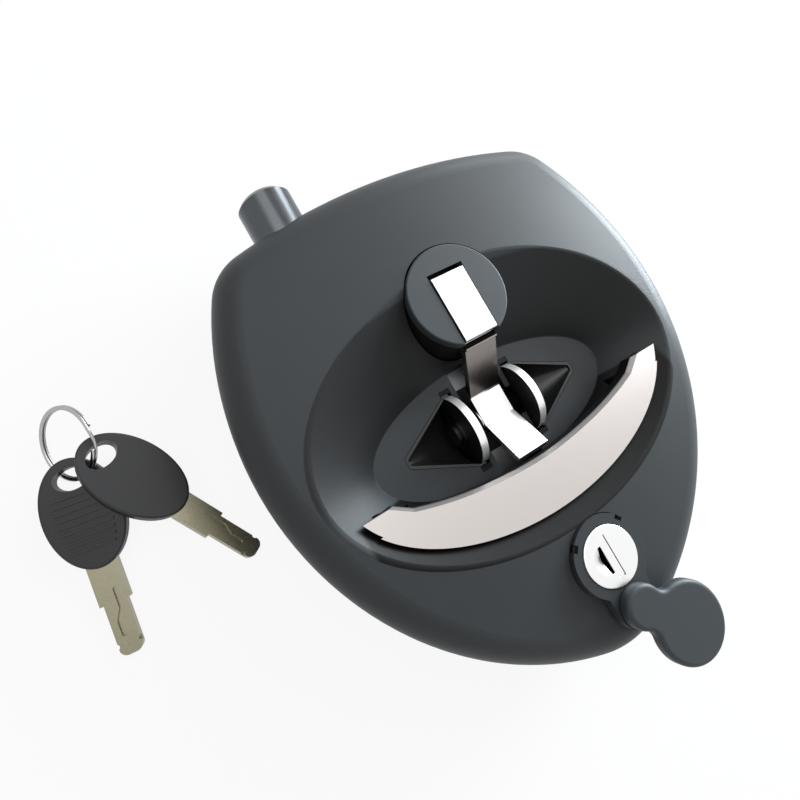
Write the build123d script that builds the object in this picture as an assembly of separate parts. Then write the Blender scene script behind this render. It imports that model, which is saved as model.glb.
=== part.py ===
from build123d import *
import math
import os

# Compartment lock with a pull handle, push button, spring bolt, keyed cylinder and two keys.
# Millimetres. The origin is on the flat back face, under the middle of the finger dish.
# +Z points out of the door towards the hand, and +Y towards the end that the bolt leaves.

# How solids are held while they are placed
STANDING = (Align.CENTER, Align.CENTER, Align.MIN)
CORNER = (Align.MIN, Align.MIN, Align.MIN)

# Case
OUTLINE_TOP = 64.9
OUTLINE_RADII = [176.4, 14.2, 87.8, 79.1]
OUTLINE_TURNS = [12.8, 48.3, 23.0, 74.4]
CROWN_Z = 29.3
CROWN_Y = 12.0
CROWN_RADIUS = 440.0
WALL = 2.6
DISH_WALL = 2.3
EDGE_RADIUS = 8.0
RIM_RADIUS = 1.4
PLATE_THICKNESS = 1.6
PLATE_GAP = 0.2
CUT_MARGIN = 1.2

# Finger dish: the ellipses at its floor, its middle, its rim and above the rim
FLOOR_Z = 14.8
FLOOR_THICKNESS = 2.2
RIM_Z = 26.0
FLOOR_ELLIPSE = (35.2, 14.8, -0.2)
MIDDLE_ELLIPSE = (40.6, 20.6, 0.7)
RIM_ELLIPSE = (49.0, 30.0, 1.4)
MIDDLE_Z = FLOOR_Z + 5.2
DISH_TOP_Z = RIM_Z + 5.0
DISH_TOP_SHIFT = 0.83
RIM_SEARCH = 1.1

# Case screws and the threaded bosses that hold the lock to a door
SCREW_PLACES = [(50.0, 20.0), (12.0, 56.0), (42.0, -20.0)]
SCREW_RADIUS = 1.5
SCREW_LENGTH = 11.0
SCREW_HEAD_RADIUS = 2.9
SCREW_DRIVE_RADIUS = 1.2
SCREW_END_GAP = 0.5
SCREW_BOSS_RADIUS = 3.5
MOUNT_UPPER = (44.0, 42.0)
MOUNT_LOWER = (20.0, -46.0)
MOUNT_HOLE_RADIUS = 2.1
MOUNT_HOLE_DEPTH = 12.0
MOUNT_BOSS_RADIUS = 4.5
SNUG = 0.05
RUNNING = 0.05

# Rocker lever and its bracket
PIVOT_Z = 11.9
EAR_RADIUS = 9.6
EAR_THICKNESS = 2.0
EAR_INSIDE = 8.3
BRACKET_THICKNESS = 1.8
EAR_SLOT_GAP = 0.3
RIVET_INSET = 3.1
RIVET_SPREAD = 4.5
RIVET_HEAD_RADIUS = 2.5
ROCKER_PIN_RADIUS = 2.0
PIN_HEAD_RADIUS = 3.2
PIN_HEAD_THICKNESS = 1.0
BUSH_RADIUS = 3.0
BUSH_FLANGE_RADIUS = 4.2
BUSH_FLANGE = 0.8
LEVER_WIDTH = 9.0
LEVER_THICKNESS = 1.6
TAB_THICKNESS = 2.4
TAB_EDGE = 0.5
TAB_TOP_Z = 29.3
TAB_START_Y = 17.7
TAB_END_Y = 34.2
LEVER_KNEE = (5.6, 15.9)
LEVER_HEEL = (-1.7, 15.8)
LEVER_TOE = (-11.8, 22.6)
LEVER_HUB_RADIUS = 3.4
NECK_SETBACK = 0.9
NECK_TOP_Z = 26.8
NECK_REACH = 2.5
CHANNEL_HALF_WIDTH = 6.4
CHANNEL_END_Y = -15.0
CHANNEL_START_Y = 14.6

# Half-cone cups beside the bracket's ears
CUP_RADIUS = 9.0
CUP_TIP_X = 25.8
CUP_TIP_RADIUS = 0.8
CUP_WALL = 0.6
CUP_GAP = 0.1

# Push button
BUTTON_Y = 28.6
BUTTON_RADIUS = 12.4
BUTTON_TOP_Z = 29.0
CAP_THICKNESS = 2.4
CAP_EDGE = 0.4
PLUNGER_STEP = 0.2
PLUNGER_LENGTH = 14.6
BUTTON_GAP = 0.4
GUIDE_WALL = 1.8
GUIDE_BOTTOM_Z = 8.0
TAB_SIDE_GAP = 0.45
TAB_END_GAP = 1.0
CAP_LIP = 0.35
SLOT_UNDERCUT = 1.1
TAB_FLOOR_GAP = 1.2
PUSH_RIB_Y = 25.2
PUSH_RIB_WIDTH = 1.2
PUSH_RIB_GAP = 0.15
RIB_CLEAR = 0.6
SPRING_POCKET_RADIUS = 6.5
SPRING_POCKET_DEPTH = 8.0
POCKET_ROOF = 1.6
BUTTON_SPRING_RADIUS = 5.0
SPRING_WIRE = 0.9
BUTTON_SPRING_TURNS = 5
SPRING_SEAT_GAP = 0.2

# Pull handle: a crescent with two drive arms, turning on two short pins
HANDLE_TOP_Z = 25.5
HANDLE_THICKNESS = 5.0
HANDLE_INNER = [(0.0, -13.4), (12.0, -12.6), (20.5, -11.3), (28.0, -9.5), (33.0, -7.9)]
HANDLE_NOTCH_X = 36.7
HANDLE_END_Y = -5.3
BORDER_MARGIN = 2.0
HANDLE_GAP = 0.7
TRIM_THICKNESS = 1.5
TRIM_BORDER = 1.3
TRIM_BEVEL_WIDTH = 1.3
TRIM_BEVEL_DEPTH = 0.8
END_RELIEF = 1.9
END_RELIEF_Y = -9.5
TRIM_RELIEF = 0.5
HANDLE_PIVOT = (-8.0, 21.6)
HANDLE_PIN_RADIUS = 1.5
HANDLE_PIN_INSIDE = 37.6
HANDLE_PIN_OUTSIDE = 51.0
KNUCKLE_RADIUS = 2.4
KNUCKLE_END_X = 41.0
KNUCKLE_GAP = 0.4
PIN_BOSS_RADIUS = 3.6
PIN_BOSS_START_X = 43.0
PIN_BOSS_END_X = 48.4
ARM_X = 34.0
ARM_WIDTH = 2.8
ARM_Y = -10.0
ARM_DEPTH = 4.0
ARM_END_Z = 3.6
ARM_SLOT = (-16.8, -7.8)
TORSION_RADIUS = 2.6
TORSION_WIRE = 0.6
TORSION_TURNS = 2
TORSION_GAP = 0.4

# Spring bolt, its guide and the draw bar that the handle's left arm pulls
BOLT_X = -26.4
BOLT_Z = 17.0
BOLT_RADIUS = 6.75
BOLT_TIP_Y = 72.0
BOLT_REAR_Y = 39.0
BOLT_CHAMFER = 1.1
GUIDE_HALF_WIDTH = 9.5
GUIDE_BLOCK = (44.5, 58.0)
GUIDE_TOP_Z = 21.0
BAR_THICKNESS = 2.0
BAR_TOP_Z = 10.8
BAR_HALF_WIDTH = 3.2
BAR_WINDOW_HALF_WIDTH = 3.9
BAR_END_Y = -17.4
BAR_FOOT_Y = 37.4
BAR_FRONT_Y = 43.4
BAR_WINDOW = (-12.4, -5.8)
BAR_EYE_WALL = 3.9
BOLT_FLAT_RUNOUT = 0.6
BAR_SCREW_RADIUS = 1.5
BAR_SCREW_HEAD_RADIUS = 2.7
BAR_SCREW_HEAD = 1.6
BAR_SCREW_LENGTH = 7.0

# Lock cylinder
CYLINDER_Y = -39.9
FACE_Z = 28.5
FACE_RADIUS = 7.0
FACE_THICKNESS = 1.4
FACE_EDGE = 0.35
BARREL_RADIUS = 7.5
BARREL_WALL = 2.1
PLUG_RADIUS = BARREL_RADIUS - BARREL_WALL
BARREL_FLANGE_RADIUS = BARREL_RADIUS + 1.1
BARREL_FLANGE = 1.2
BARREL_BOTTOM_Z = 6.0
SHANK_STEP = 0.3
NUT_SEAT_Z = 21.5
NUT_THICKNESS = 3.5
NUT_WALL = 2.0
NUT_ACROSS_FLATS = 2 * (BARREL_RADIUS + NUT_WALL)
NUT_BOSS_RADIUS = NUT_ACROSS_FLATS / 2 + 2.5
CAM_Z = 3.9
CAM_THICKNESS = 1.7
CAM_LENGTH = 16.0
CAM_WIDTH = 9.0
TAIL_SIDE = 5.0
CAM_SCREW_RADIUS = 3.6
CAM_SCREW_HEAD = 1.2
CAM_SCREW_SHANK_RADIUS = 1.5
CAM_SCREW_DEPTH = 6.0
CAM_HUB_GROW = 1.0
KEYWAY_X = -1.7
KEYWAY_WIDTH = 0.8
KEYWAY_LENGTH = 6.6
KEYWAY_CLEAR = 2.0
SCOOP_RADIUS = 3.4
SCOOP_DEPTH = 1.2
SCOOP_FLAT_RADIUS = 0.5
SEAM_X = 0.65
SEAM_LENGTH = 10.0
SEAM_WIDTH = 0.25
SEAM_DEPTH = 0.3
TICK_LENGTH = 1.8

# Collar round the cylinder, with the ear that carries the dust cover
COLLAR_RADIUS = 9.4
COLLAR_TOP_Z = 28.2
COLLAR_SEAT_Z = 25.4
COLLAR_BORE = 7.15
COLLAR_NOTCH_ANGLES = (41.0, 139.0)
COLLAR_NOTCH = (2.16, 1.8)
COLLAR_NECK_FLARE = 0.6
COLLAR_NECK_OVERLAP = 2.9
EAR_LOBE_RADIUS = 5.2
COVER_PIVOT = (-0.3, -52.0)
COVER_ANGLE = -49.0
COVER_SPAN = 11.8
COVER_SMALL_RADIUS = 5.0
COVER_LARGE_RADIUS = 9.2
COVER_BOTTOM_Z = 28.8
COVER_THICKNESS = 2.5
COVER_EDGE = 1.1
COVER_WAIST = 2.6
COVER_PIN_RADIUS = 1.5
COVER_PIN_SEAT_Z = COLLAR_SEAT_Z + 0.4
COVER_PIN_ROOF = 0.9

# Keys and their ring, lying on the surface that the back face lies on
KEY_HEAD_LENGTH = 25.0
KEY_HEAD_WIDTH = 16.0
KEY_HEAD_THICKNESS = 3.2
KEY_EDGE = 0.5
KEY_SPLIT = 0.35
KEY_HOLE_WIDTH = 7.2
KEY_HOLE_LENGTH = 5.0
KEY_HOLE_X = 7.9
SHOULDER_WIDTH = 6.3
SHOULDER_LENGTH = 8.0
BLADE_WIDTH = 4.7
BLADE_LENGTH = 11.6
BLADE_THICKNESS = 1.9
BLADE_TIP_RADIUS = 1.65
BLADE_ROOT = 6.0
BLADE_GROOVE = 0.5
GROOVE_WIDTH = 1.2
GROOVE_PATH = [(-2.6, 0.9), (1.6, 0.9), (4.2, -0.3), (7.0, -0.3)]
TIP_NOTCH_X = 2.4
TIP_NOTCH = 0.8
RIB_COUNT = 9
RIB_START_X = -4.6
RIB_PITCH = 1.5
RIB_WIDTH = 0.6
RIB_HEIGHT = 0.3
RIB_SPAN = 0.68
KEY_LOW = (-92.8, 26.6, 3.34)
KEY_LOW_TURN = -98.0
KEY_LOW_DIP = 4.26
KEY_HIGH = (-80.4, 28.2, 6.84)
KEY_HIGH_TURN = -62.8
KEY_HIGH_TILT = -20.2
KEY_HIGH_DIP = 9.17
RING_RADIUS = 8.0
RING_WIRE = 0.62
RING_CENTRE = (-88.92, 41.46, 5.96)
RING_TILT = (-40.76, 0.6)


def case_face(inset):
    """Plan of the case, drawn in by inset: tangent arcs of a radius and a turn, then a closing arc."""
    point = Vector(0, OUTLINE_TOP - inset)
    heading = 0.0
    arcs = []
    for radius, turn in zip(OUTLINE_RADII, OUTLINE_TURNS):
        along = (math.cos(heading), math.sin(heading))
        arcs.append(JernArc(start=point, tangent=along, radius=radius - inset, arc_size=-turn))
        point = arcs[-1] @ 1
        heading -= math.radians(turn)
    left_to_turn = math.pi + heading
    along = (math.cos(heading), math.sin(heading))
    closing = point.X / math.sin(left_to_turn)
    arcs.append(JernArc(start=point, tangent=along, radius=closing, arc_size=-math.degrees(left_to_turn)))
    right = Curve() + arcs
    return make_face(right + mirror(right, Plane.YZ))


def case_blank(inset, bottom):
    """The case as a crowned block with a rounded front edge, drawn in by inset on all sides."""
    blank = Pos(0, 0, bottom) * extrude(case_face(inset), amount=2 * CROWN_Z - bottom)
    ball = Pos(0, CROWN_Y, CROWN_Z - CROWN_RADIUS) * Rot(90, 0, 0) * Sphere(CROWN_RADIUS - inset)
    blank = blank & ball
    front = blank.faces().sort_by(Axis.Z)[-1]
    return fillet(front.edges(), EDGE_RADIUS - inset)


def ellipse_at(size, grow, z):
    """One ellipse of the dish, grown by grow."""
    return Pos(0, size[2], z) * Ellipse(size[0] + grow, size[1] + grow)


def dish(grow, floor_drop):
    """The dish as a solid, from its floor to above the front face."""
    slope_x = (RIM_ELLIPSE[0] - MIDDLE_ELLIPSE[0]) / (RIM_Z - MIDDLE_Z)
    slope_y = (RIM_ELLIPSE[1] - MIDDLE_ELLIPSE[1]) / (RIM_Z - MIDDLE_Z)
    rise = DISH_TOP_Z - RIM_Z
    top = (RIM_ELLIPSE[0] + slope_x * rise, RIM_ELLIPSE[1] + slope_y * rise, RIM_ELLIPSE[2] + DISH_TOP_SHIFT)
    sections = [ellipse_at(FLOOR_ELLIPSE, grow, FLOOR_Z - floor_drop),
                ellipse_at(MIDDLE_ELLIPSE, grow, MIDDLE_Z - floor_drop),
                ellipse_at(RIM_ELLIPSE, grow, RIM_Z - floor_drop),
                ellipse_at(top, grow, DISH_TOP_Z)]
    return loft(sections)


def upright(radius, height, x, y, z):
    """A cylinder that stands on z."""
    return Pos(x, y, z) * Cylinder(radius, height, align=STANDING)


def along_x(radius, start, end, y, z):
    """A cylinder along X, from start to end."""
    stand = Cylinder(radius, end - start, align=STANDING)
    return Pos(start, y, z) * Rot(0, 90, 0) * stand


def along_y(radius, start, end, x, z):
    """A cylinder along Y, from start to end."""
    stand = Cylinder(radius, end - start, align=STANDING)
    return Pos(x, start, z) * Rot(-90, 0, 0) * stand


def block(x, y, z):
    """A box between the two ends given for each axis."""
    low = (min(x), min(y), min(z))
    box = Box(abs(x[1] - x[0]), abs(y[1] - y[0]), abs(z[1] - z[0]), align=CORNER)
    return Pos(*low) * box


def both_sides(places):
    """Every place on the right, and the same place on the left."""
    return [(side * x, y) for x, y in places for side in (1, -1)]


def prism_x(points, start, end):
    """A closed outline in the Y-Z plane, carried along X from start to end."""
    face = make_face(Polyline(*[(start, y, z) for y, z in points], close=True))
    return extrude(face, amount=end - start, dir=(1, 0, 0))


def cup_cone(grow):
    """A half cone lying along X, its flat side at the dish floor; grow thickens it."""
    span = CUP_TIP_X - ear_outside()
    cone = Cone(CUP_RADIUS + grow, CUP_TIP_RADIUS + grow, span + grow, align=STANDING)
    lying = Pos(ear_outside() + EAR_SLOT_GAP, 0, FLOOR_Z) * Rot(0, 90, 0) * cone
    below = block((0, 2 * CUP_TIP_X), (-2 * CUP_RADIUS, 2 * CUP_RADIUS), (0, FLOOR_Z))
    return lying & below


def ear_outside():
    """Outer face of the bracket's right ear."""
    return EAR_INSIDE + EAR_THICKNESS


def case_openings():
    """Everything cut through the dish and the front of the case."""
    floor_cut = (GUIDE_BOTTOM_Z, FLOOR_Z + CUT_MARGIN)
    cuts = [block((-CHANNEL_HALF_WIDTH, CHANNEL_HALF_WIDTH), (CHANNEL_END_Y, CHANNEL_START_Y), floor_cut)]
    hub = LEVER_HUB_RADIUS + 2 * EAR_SLOT_GAP
    cuts.append(block((-ear_outside(), ear_outside()), (-hub, hub), floor_cut))
    ear_half = EAR_RADIUS + EAR_SLOT_GAP
    for side in (1, -1):
        inside = side * (EAR_INSIDE - EAR_SLOT_GAP)
        outside = side * (ear_outside() + EAR_SLOT_GAP)
        cuts.append(block((inside, outside), (-ear_half, ear_half), floor_cut))
        arm_half = ARM_WIDTH / 2 + 2 * EAR_SLOT_GAP
        arm = (side * ARM_X - arm_half, side * ARM_X + arm_half)
        cuts.append(block(arm, ARM_SLOT, (GUIDE_BOTTOM_Z - CUT_MARGIN, RIM_Z - CUT_MARGIN)))
    cone = cup_cone(CUP_WALL + CUP_GAP)
    cuts += [cone, mirror(cone, Plane.YZ)]
    cuts.append(upright(BUTTON_RADIUS + BUTTON_GAP, CROWN_Z, 0, BUTTON_Y, 0))
    cuts.append(upright(BARREL_RADIUS + SNUG, CROWN_Z, 0, CYLINDER_Y, 0))
    cuts.append(along_y(BOLT_RADIUS + RUNNING, BOLT_REAR_Y, BOLT_TIP_Y, BOLT_X, BOLT_Z))
    collar_height = CROWN_Z - COLLAR_SEAT_Z
    cuts.append(Pos(0, 0, COLLAR_SEAT_Z) * extrude(collar_plan(PLATE_GAP), amount=collar_height))
    for x, y in both_sides([MOUNT_UPPER, MOUNT_LOWER]):
        cuts.append(upright(MOUNT_HOLE_RADIUS, MOUNT_HOLE_DEPTH, x, y, 0))
    for x, y in both_sides(SCREW_PLACES):
        cuts.append(upright(SCREW_RADIUS + SNUG, SCREW_LENGTH + CUT_MARGIN, x, y, 0))
    for start, end in ((HANDLE_PIN_INSIDE, HANDLE_PIN_OUTSIDE), (-HANDLE_PIN_OUTSIDE, -HANDLE_PIN_INSIDE)):
        cuts.append(along_x(HANDLE_PIN_RADIUS + SNUG, start, end, *HANDLE_PIVOT))
    near, far = (HANDLE_NOTCH_X - CUT_MARGIN, KNUCKLE_END_X + KNUCKLE_GAP)
    for start, end in ((near, far), (-far, -near)):
        cuts.append(along_x(KNUCKLE_RADIUS + KNUCKLE_GAP, start, end, *HANDLE_PIVOT))
    coil_room = TORSION_RADIUS + TORSION_WIRE / 2 + TORSION_GAP / 2
    near, far = (PIN_BOSS_END_X, HANDLE_PIN_OUTSIDE)
    for start, end in ((near, far), (-far, -near)):
        cuts.append(along_x(coil_room, start, end, *HANDLE_PIVOT))
    return cuts


def case_bosses():
    """What stands inside the case: bosses, the button's guide and the dish's own wall."""
    tall = CROWN_Z - PLATE_THICKNESS
    solids = [dish(DISH_WALL, FLOOR_THICKNESS)]
    solids += [upright(SCREW_BOSS_RADIUS, tall, x, y, PLATE_THICKNESS) for x, y in both_sides(SCREW_PLACES)]
    mounts = both_sides([MOUNT_UPPER, MOUNT_LOWER])
    solids += [upright(MOUNT_BOSS_RADIUS, CROWN_Z, x, y, 0) for x, y in mounts]
    guide_radius = BUTTON_RADIUS + BUTTON_GAP + GUIDE_WALL
    solids.append(upright(guide_radius, CROWN_Z - GUIDE_BOTTOM_Z, 0, BUTTON_Y, GUIDE_BOTTOM_Z))
    solids.append(upright(NUT_BOSS_RADIUS, CROWN_Z - NUT_SEAT_Z, 0, CYLINDER_Y, NUT_SEAT_Z))
    for start, end in ((PIN_BOSS_START_X, PIN_BOSS_END_X), (-PIN_BOSS_END_X, -PIN_BOSS_START_X)):
        solids.append(along_x(PIN_BOSS_RADIUS, start, end, *HANDLE_PIVOT))
    return solids


def dish_rim(body):
    """The edges where the dish meets the crowned face."""
    rim = []
    for edge in body.edges():
        centre = edge.center()
        across = math.hypot(centre.X / RIM_ELLIPSE[0], (centre.Y - RIM_ELLIPSE[2]) / RIM_ELLIPSE[1])
        if edge.bounding_box().min.Z > MIDDLE_Z and across < RIM_SEARCH:
            rim.append(edge)
    return rim


def front_shell():
    """Moulded case front: crowned face, finger dish, walls and inner bosses."""
    body = case_blank(0.0, 0.0) - dish(0.0, 0.0)
    body = fillet(dish_rim(body), RIM_RADIUS)
    cavity = case_blank(WALL, -WALL)
    for boss in case_bosses():
        cavity = cavity - boss
    body = body - cavity
    for cut in case_openings():
        body = body - cut
    return body


def rivet_places():
    """Rivets that hold the bracket to the back plate."""
    reach = EAR_RADIUS - RIVET_INSET
    return [(x, y) for x in (-RIVET_SPREAD, RIVET_SPREAD) for y in (-reach, reach)]


def guide_screw_places():
    """Screws that hold the bolt guide to the back plate."""
    reach = GUIDE_HALF_WIDTH - SCREW_HEAD_RADIUS
    return [(BOLT_X + x, sum(GUIDE_BLOCK) / 2) for x in (-reach, reach)]


def countersunk(length, x, y):
    """A countersunk screw driven in from the back face."""
    head = Cone(SCREW_HEAD_RADIUS, SCREW_RADIUS, PLATE_THICKNESS, align=STANDING)
    recess = upright(SCREW_DRIVE_RADIUS, PLATE_THICKNESS / 2, x, y, 0)
    return Pos(x, y, 0) * head + upright(SCREW_RADIUS, length, x, y, 0) - recess


def countersink(x, y):
    """The hole for such a screw in the back plate."""
    head = Cone(SCREW_HEAD_RADIUS + SNUG, SCREW_RADIUS + SNUG, PLATE_THICKNESS,
                align=STANDING)
    return Pos(x, y, 0) * head


def back_plate():
    """Steel plate that closes the case from behind."""
    plate = extrude(case_face(WALL + PLATE_GAP), amount=PLATE_THICKNESS)
    for x, y in both_sides([MOUNT_UPPER, MOUNT_LOWER]):
        plate = plate - upright(MOUNT_BOSS_RADIUS + PLATE_GAP, PLATE_THICKNESS, x, y, 0)
    for x, y in both_sides(SCREW_PLACES) + guide_screw_places():
        plate = plate - countersink(x, y)
    for x, y in rivet_places():
        plate = plate - upright(SCREW_RADIUS + SNUG, PLATE_THICKNESS, x, y, 0)
    return plate


def pocket_cups():
    """Two dark half-cone cups, open towards the ears."""
    cup = cup_cone(CUP_WALL) - cup_cone(0.0)
    return [cup, mirror(cup, Plane.YZ)]


def rocker_bracket():
    """Steel bracket with two round-topped ears that stand up through the dish floor."""
    base_top = PLATE_THICKNESS + BRACKET_THICKNESS
    bracket = block((-ear_outside(), ear_outside()), (-EAR_RADIUS, EAR_RADIUS), (PLATE_THICKNESS, base_top))
    for start, end in ((EAR_INSIDE, ear_outside()), (-ear_outside(), -EAR_INSIDE)):
        ear = along_x(EAR_RADIUS, start, end, 0, PIVOT_Z)
        foot = block((start, end), (-EAR_RADIUS, EAR_RADIUS), (PLATE_THICKNESS, PIVOT_Z))
        bracket = bracket + ear + foot
        bracket = bracket - along_x(BUSH_RADIUS + SNUG, start, end, 0, PIVOT_Z)
    for x, y in rivet_places():
        bracket = bracket - upright(SCREW_RADIUS + SNUG, base_top, x, y, 0)
    low = block((-ear_outside(), ear_outside()), (-EAR_RADIUS, EAR_RADIUS), (0, PLATE_THICKNESS))
    return bracket - low


def bracket_rivets():
    """Four rivets with low round heads inside the case."""
    base_top = PLATE_THICKNESS + BRACKET_THICKNESS
    rivets = []
    for x, y in rivet_places():
        shank = upright(SCREW_RADIUS, base_top, x, y, 0)
        head = upright(RIVET_HEAD_RADIUS, BRACKET_THICKNESS / 2, x, y, base_top)
        rivets.append(shank + head)
    return rivets


def pin_bushes():
    """Flanged bushes in the ears."""
    bushes = []
    for side in (1, -1):
        sleeve = along_x(BUSH_RADIUS, EAR_INSIDE, ear_outside(), 0, PIVOT_Z)
        flange = along_x(BUSH_FLANGE_RADIUS, ear_outside(), ear_outside() + BUSH_FLANGE, 0, PIVOT_Z)
        bore = along_x(ROCKER_PIN_RADIUS + RUNNING, EAR_INSIDE, ear_outside() + BUSH_FLANGE, 0, PIVOT_Z)
        bush = sleeve + flange - bore
        bushes.append(bush if side > 0 else mirror(bush, Plane.YZ))
    return bushes


def rocker_pin():
    """Headed pin through both ears and the lever."""
    reach = ear_outside() + BUSH_FLANGE + RUNNING
    pin = along_x(ROCKER_PIN_RADIUS, -reach, reach, 0, PIVOT_Z)
    for start, end in ((reach, reach + PIN_HEAD_THICKNESS), (-reach - PIN_HEAD_THICKNESS, -reach)):
        pin = pin + along_x(PIN_HEAD_RADIUS, start, end, 0, PIVOT_Z)
    return pin


def lever_strip(points, thickness):
    """The outline of a strip bent along points, thickness below its upper side."""
    lower = []
    for index, (y, z) in enumerate(points):
        before = points[max(index - 1, 0)]
        after = points[min(index + 1, len(points) - 1)]
        angle_in = math.atan2(z - before[1], y - before[0]) if index else None
        angle_out = math.atan2(after[1] - z, after[0] - y) if index < len(points) - 1 else None
        first = angle_out if angle_in is None else angle_in
        second = angle_in if angle_out is None else angle_out
        middle = (first + second) / 2
        reach = thickness / math.cos((second - first) / 2)
        lower.append((y + math.sin(middle) * -reach, z + math.cos(middle) * reach))
    return points + lower[::-1]


def rocker_lever():
    """Bent lever: tab in the button, riser, flat and toe, with a hub on the pin."""
    half = LEVER_WIDTH / 2
    riser_top = (TAB_START_Y - NECK_SETBACK, NECK_TOP_Z)
    path = [LEVER_TOE, LEVER_HEEL, LEVER_KNEE, riser_top]
    strip = prism_x(lever_strip(path, -LEVER_THICKNESS), -half, half)
    tab = block((-half, half), (TAB_START_Y, TAB_END_Y), (TAB_TOP_Z - TAB_THICKNESS, TAB_TOP_Z))
    tab = fillet(tab.edges().filter_by(Axis.X).group_by(Axis.Z)[-1], TAB_EDGE)
    hub_reach = EAR_INSIDE - EAR_SLOT_GAP
    hub = along_x(LEVER_HUB_RADIUS, -hub_reach, hub_reach, 0, PIVOT_Z)
    web_y = (-LEVER_HUB_RADIUS / 2, LEVER_KNEE[0] - LEVER_THICKNESS / 2)
    web = block((-half, half), web_y, (PIVOT_Z, LEVER_HEEL[1] - LEVER_THICKNESS / 2))
    neck_y = (riser_top[0] - LEVER_THICKNESS / 2, TAB_START_Y + NECK_REACH)
    neck = block((-half, half), neck_y, (NECK_TOP_Z - LEVER_THICKNESS, TAB_TOP_Z - TAB_THICKNESS + SNUG))
    lever = strip + tab + hub + web + neck
    return lever - along_x(ROCKER_PIN_RADIUS + RUNNING, -hub_reach, hub_reach, 0, PIVOT_Z)


def button_slot_half():
    """Half width of the slot that the lever's tab lies in."""
    return LEVER_WIDTH / 2 + TAB_SIDE_GAP


def button_cap():
    """Round slotted cap, flush with the case."""
    cap = upright(BUTTON_RADIUS, CAP_THICKNESS, 0, BUTTON_Y, BUTTON_TOP_Z - CAP_THICKNESS)
    cap = fillet(cap.edges().group_by(Axis.Z)[-1], CAP_EDGE)
    half = button_slot_half()
    slot_end = TAB_END_Y + TAB_END_GAP
    slot = block((-half, half), (BUTTON_Y - 2 * BUTTON_RADIUS, slot_end), (0, 2 * CROWN_Z))
    undercut_y = (slot_end - CAP_LIP, slot_end + SLOT_UNDERCUT)
    undercut = block((-half, half), undercut_y, (0, BUTTON_TOP_Z - CAP_LIP))
    return cap - slot - undercut


def button_plunger():
    """Body of the button, with the lever's slot and the spring's pocket."""
    top = BUTTON_TOP_Z - CAP_THICKNESS
    bottom = top - PLUNGER_LENGTH
    half = button_slot_half()
    plunger = upright(BUTTON_RADIUS - PLUNGER_STEP, PLUNGER_LENGTH, 0, BUTTON_Y, bottom)
    plunger = plunger - upright(SPRING_POCKET_RADIUS, SPRING_POCKET_DEPTH, 0, BUTTON_Y, bottom)
    rib_start = PUSH_RIB_Y - PUSH_RIB_WIDTH / 2
    rib_end = PUSH_RIB_Y + PUSH_RIB_WIDTH / 2
    edge = BUTTON_Y - 2 * BUTTON_RADIUS
    clear_z = bottom + SPRING_POCKET_DEPTH + POCKET_ROOF
    plunger = plunger - block((-half, half), (edge, rib_start - RIB_CLEAR), (clear_z, 2 * CROWN_Z))
    tab_bottom = TAB_TOP_Z - TAB_THICKNESS
    slot_end = TAB_END_Y + TAB_END_GAP + SLOT_UNDERCUT
    recess = block((-half, half), (rib_start - RIB_CLEAR, slot_end), (tab_bottom - TAB_FLOOR_GAP, top))
    rib = block((-half, half), (rib_start, rib_end), (tab_bottom - TAB_FLOOR_GAP, tab_bottom - PUSH_RIB_GAP))
    return plunger - recess + rib


def coil(radius, wire, height, turns):
    """A helical spring of square wire, standing on z = 0."""
    pitch = (height - wire) / turns
    path = Helix(pitch=pitch, height=height - wire, radius=radius)
    profile = Plane(origin=path @ 0, z_dir=path % 0) * Rectangle(wire, wire)
    return Pos(0, 0, wire / 2) * sweep(profile, path=path, is_frenet=True)


def button_spring():
    """Compression spring between the back plate and the plunger."""
    bottom = BUTTON_TOP_Z - CAP_THICKNESS - PLUNGER_LENGTH
    height = bottom + SPRING_POCKET_DEPTH - PLATE_THICKNESS - 2 * SPRING_SEAT_GAP
    spring = coil(BUTTON_SPRING_RADIUS, SPRING_WIRE, height, BUTTON_SPRING_TURNS)
    return Pos(0, BUTTON_Y, PLATE_THICKNESS + SPRING_SEAT_GAP) * spring


def handle_plan():
    """Plan of the crescent, open on its outer side."""
    points = [(-x, y) for x, y in reversed(HANDLE_INNER[1:])] + HANDLE_INNER
    inner = Spline(*points)
    wide = RIM_ELLIPSE[0] + BORDER_MARGIN
    low = RIM_ELLIPSE[2] - RIM_ELLIPSE[1] - BORDER_MARGIN
    end = HANDLE_INNER[-1]
    rest = Polyline(end, (HANDLE_NOTCH_X, HANDLE_END_Y), (wide, HANDLE_END_Y), (wide, low), (-wide, low),
                    (-wide, HANDLE_END_Y), (-HANDLE_NOTCH_X, HANDLE_END_Y), (-end[0], end[1]))
    return make_face(Curve() + [inner, rest])


def handle_fit(layer, gap, relief):
    """Keeps a layer of the crescent clear of the dish wall, and more so at its ends."""
    wide = RIM_ELLIPSE[0] + 2 * BORDER_MARGIN
    layer = layer & dish(-gap, 0.0)
    ends = block((-wide, wide), (END_RELIEF_Y, HANDLE_END_Y + BORDER_MARGIN), (0, CROWN_Z))
    return layer - (ends - dish(-gap - relief, 0.0))


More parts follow.
